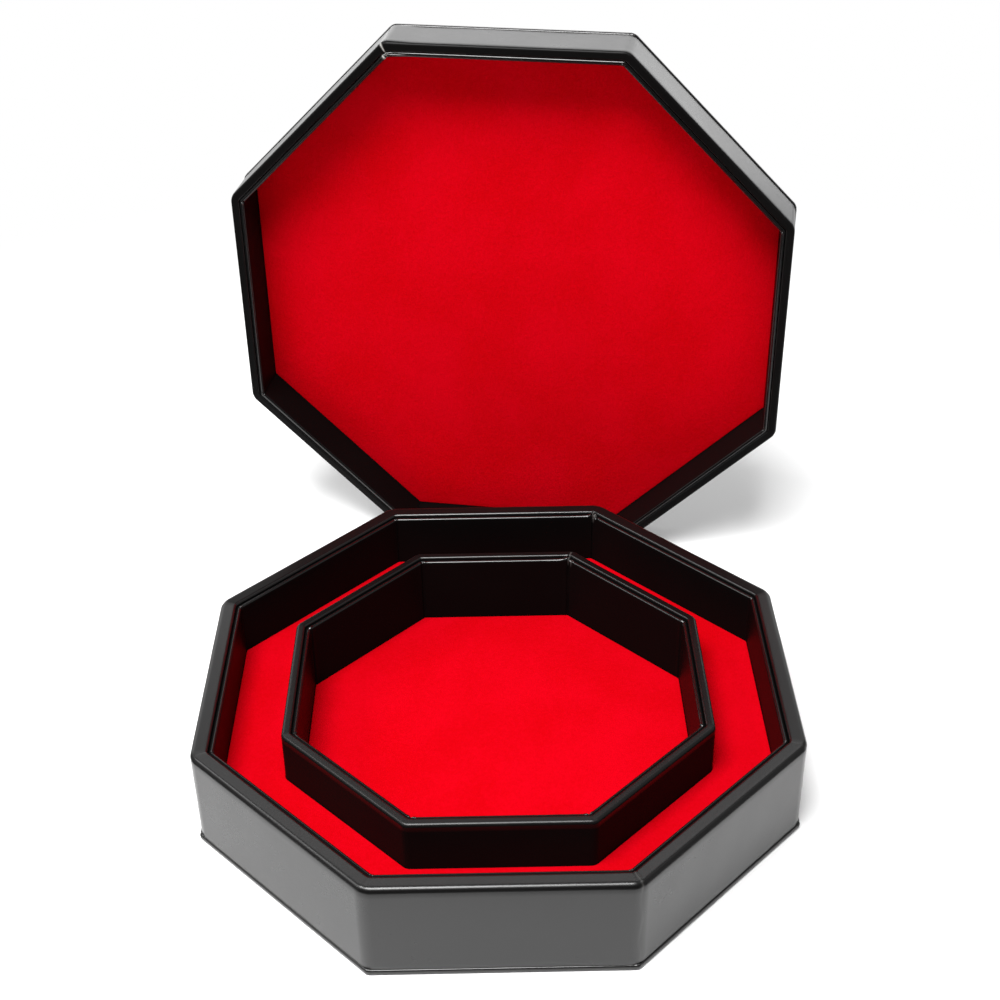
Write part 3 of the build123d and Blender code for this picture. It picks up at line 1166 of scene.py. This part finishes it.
sheets = [
    upright(CLOTH_END, (CLOTH_FRONT, ABOVE_THE_TABLE), TOP_EDGE),
    lying(-CLOTH_END, CLOTH_END, CLOTH_FRONT, FRONT_EDGE),
    lying(-CLOTH_END, -SIDE_EDGE, -SIDE_EDGE, 0.35),
    lying(SIDE_EDGE, CLOTH_END, -SIDE_EDGE, 0.0),
]
cloth_mesh = bpy.data.meshes.new("dark_cloth")
corners = [corner for sheet in sheets for corner in sheet]
cloth_mesh.from_pydata(corners, [], np.arange(len(corners)).reshape(-1, 4).tolist())
dark_cloth = in_scene("dark_cloth", cloth_mesh)
dark_cloth.visible_camera = False
dark_cloth.visible_diffuse = False
dark_cloth.visible_shadow = False
dark_cloth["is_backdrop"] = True
cloth_black = bpy.data.materials.new("cloth_black")
tree, principled = shader(cloth_black)
wire(tree, principled, "Base Color", CLOTH_BLACK)
wire(tree, principled, "Roughness", 1.0)
cloth_mesh.materials.append(cloth_black)
print(f"dark cloth in {len(sheets)} sheets")

# %% [markdown]
# ## Camera
# Its place and lens were worked out from the corners of the object: it looks down by 34 degrees
# from just under three quarters of a metre away. Two small turns, one about the vertical and one
# about its own axis, bring the picture into line.

# %% Camera
PICTURE = 1000.0  # width in pixels
focal = 1628.0  # in pixels too
down = math.radians(33.85)
roll = math.radians(-0.86)
yaw = math.radians(0.31)
aim = np.array([1.89, 166.35, 0.0])
distance = 746.6

forward = np.array([0.0, math.cos(down), -math.sin(down)])
right = np.array([1.0, 0.0, 0.0])
above = np.cross(right, forward)
rolled_right = right * math.cos(roll) + above * math.sin(roll)
rolled_above = -right * math.sin(roll) + above * math.cos(roll)
about_z = np.array([
    [math.cos(-yaw), -math.sin(-yaw), 0.0],
    [math.sin(-yaw), math.cos(-yaw), 0.0],
    [0.0, 0.0, 1.0],
])
lens = bpy.data.cameras.new("camera")
lens.sensor_width = 36.0
lens.lens = focal * lens.sensor_width / PICTURE
lens.clip_start, lens.clip_end = 0.01, 100.0
camera = in_scene("camera", lens)
axes = np.stack([about_z @ rolled_right, about_z @ rolled_above, about_z @ -forward], axis=1)
stand = about_z @ (aim - forward * distance) * MM
matrix = np.eye(4)
matrix[:3, :3], matrix[:3, 3] = axes, stand
camera.matrix_world = Matrix(matrix.tolist())
bpy.context.scene.camera = camera
bpy.context.scene.view_settings.view_transform = "Standard"
print("camera stands at", np.round(stand, 4))

# %% Print both boxes and finish
visual_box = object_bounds()
for label, (low, high) in (("solids", cad_box), ("dressed", visual_box)):
    print(label, [round((b - a) / MM, 2) for a, b in zip(low, high)], "mm")
